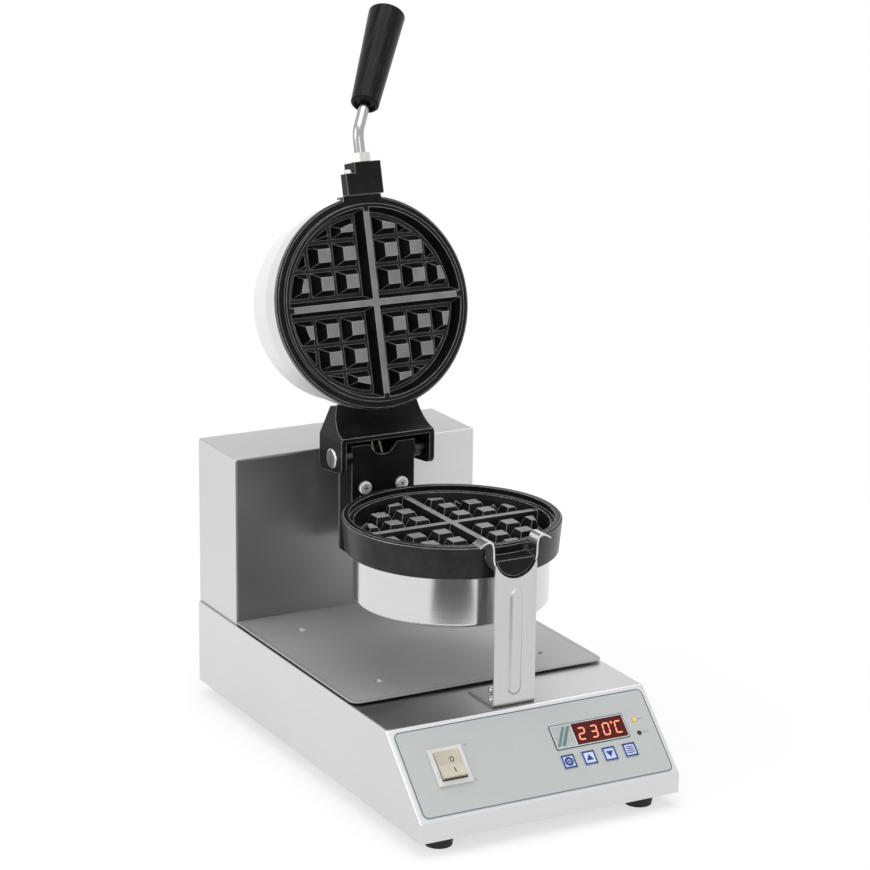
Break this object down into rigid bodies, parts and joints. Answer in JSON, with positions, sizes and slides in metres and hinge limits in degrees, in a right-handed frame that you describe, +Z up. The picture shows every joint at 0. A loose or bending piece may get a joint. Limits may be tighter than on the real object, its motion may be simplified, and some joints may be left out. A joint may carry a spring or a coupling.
{
  "type": "rotating waffle maker",
  "caption": "Countertop waffle maker with a round turning iron, lid open on its stop, bent handle, cradle post, drip tray and slanted control panel.",
  "frame": {"origin": "on the table, under the middle of the outline", "axes": "+X to the right and +Y to the back, seen from the control panel; +Z up"},
  "size_m": [0.25, 0.464, 0.6356],
  "materials": {
    "base_sheet": "satin",
    "base_bottom": "satin",
    "steel_screws": "satin",
    "feet_rubber": "matte",
    "tower_sheet": "satin",
    "gland_plastic": "satin",
    "tray_sheet": "satin",
    "post_sheet": "satin",
    "polished_strip": "gloss",
    "plain_steel": "satin",
    "bush_brass": "satin",
    "label_film": "satin",
    "switch_black": "satin",
    "rocker_cream": "satin",
    "window_red": "gloss",
    "display_black": "matte",
    "led_yellow": "gloss",
    "board_green": "satin",
    "standoff_brass": "satin",
    "terminal_white": "satin",
    "key_blue": "satin",
    "casting_black": "satin",
    "cap_steel": "polished",
    "heater_steel": "satin",
    "insulation": "matte",
    "bracket_casting": "satin",
    "rod_steel": "satin",
    "grip_black": "satin"
  },
  "bodies": {
    "stand": {"base_shell": "base_sheet", "bottom_plate": "base_bottom", "bottom_screws": "steel_screws", "rubber_feet": "feet_rubber", "foot_screws": "steel_screws", "tower_shell": "tower_sheet", "tower_back_cover": "base_bottom", "back_cover_screws": "steel_screws", "cable_gland": "gland_plastic", "drip_tray": "tray_sheet", "front_post": "post_sheet", "post_screws": "steel_screws", "cradle_strip": "polished_strip", "bearing_frame": "plain_steel", "frame_bolts": "steel_screws", "shaft_bushes": "bush_brass", "stop_pins": "plain_steel", "panel_overlay": "label_film", "switch_housing": "switch_black", "display_window": "window_red", "display_module": "display_black", "panel_leds": "led_yellow", "control_board": "board_green", "board_standoffs": "standoff_brass", "power_board": "board_green", "terminal_block": "terminal_white"},
    "rotor": {"lower_grid_plate": "casting_black", "lower_cap": "cap_steel", "lower_cap_bolt": "steel_screws", "lower_heater": "heater_steel", "lower_insulation": "insulation", "lower_probe": "plain_steel", "hinge_bracket": "bracket_casting", "bracket_screws": "steel_screws", "lug_screws": "steel_screws", "hinge_spacers": "plain_steel", "hinge_screws": "steel_screws", "shaft_flange": "plain_steel", "rear_shaft": "plain_steel", "shaft_nut": "plain_steel", "stop_collar": "plain_steel"},
    "lid": {"upper_grid_plate": "casting_black", "upper_cap": "cap_steel", "upper_cap_bolt": "steel_screws", "upper_heater": "heater_steel", "upper_insulation": "insulation", "upper_probe": "plain_steel", "handle_block": "casting_black", "block_bolt": "steel_screws", "handle_rod": "rod_steel", "rod_nut": "steel_screws", "handle_grip": "grip_black"},
    "rocker": {"switch_rocker": "rocker_cream"},
    "key_power": {"key_power": "key_blue"},
    "key_up": {"key_up": "key_blue"},
    "key_down": {"key_down": "key_blue"},
    "key_set": {"key_set": "key_blue"}
  },
  "joints": [
    {"name": "iron_turn", "type": "hinge", "parent": "stand", "child": "rotor", "pos_m": [0, 0.128, 0.2217], "axis": [0, 1, 0], "range_deg": [0, 35]},
    {"name": "lid_hinge", "type": "hinge", "parent": "rotor", "child": "lid", "pos_m": [0, 0.082, 0.249], "axis": [1, 0, 0], "range_deg": [0, 105]},
    {"name": "rocker_hinge", "type": "hinge", "parent": "stand", "child": "rocker", "pos_m": [-0.081, -0.19819, 0.05964], "axis": [1, 0, 0], "range_deg": [0, 14]},
    {"name": "key_power_press", "type": "slide", "parent": "stand", "child": "key_power", "axis": [0, 0.6955, -0.7185], "range_m": [0, 0.0005], "stiffness_N_per_m": 400},
    {"name": "key_up_press", "type": "slide", "parent": "stand", "child": "key_up", "axis": [0, 0.6955, -0.7185], "range_m": [0, 0.0005], "stiffness_N_per_m": 400},
    {"name": "key_down_press", "type": "slide", "parent": "stand", "child": "key_down", "axis": [0, 0.6955, -0.7185], "range_m": [0, 0.0005], "stiffness_N_per_m": 400},
    {"name": "key_set_press", "type": "slide", "parent": "stand", "child": "key_set", "axis": [0, 0.6955, -0.7185], "range_m": [0, 0.0005], "stiffness_N_per_m": 400}
  ]
}
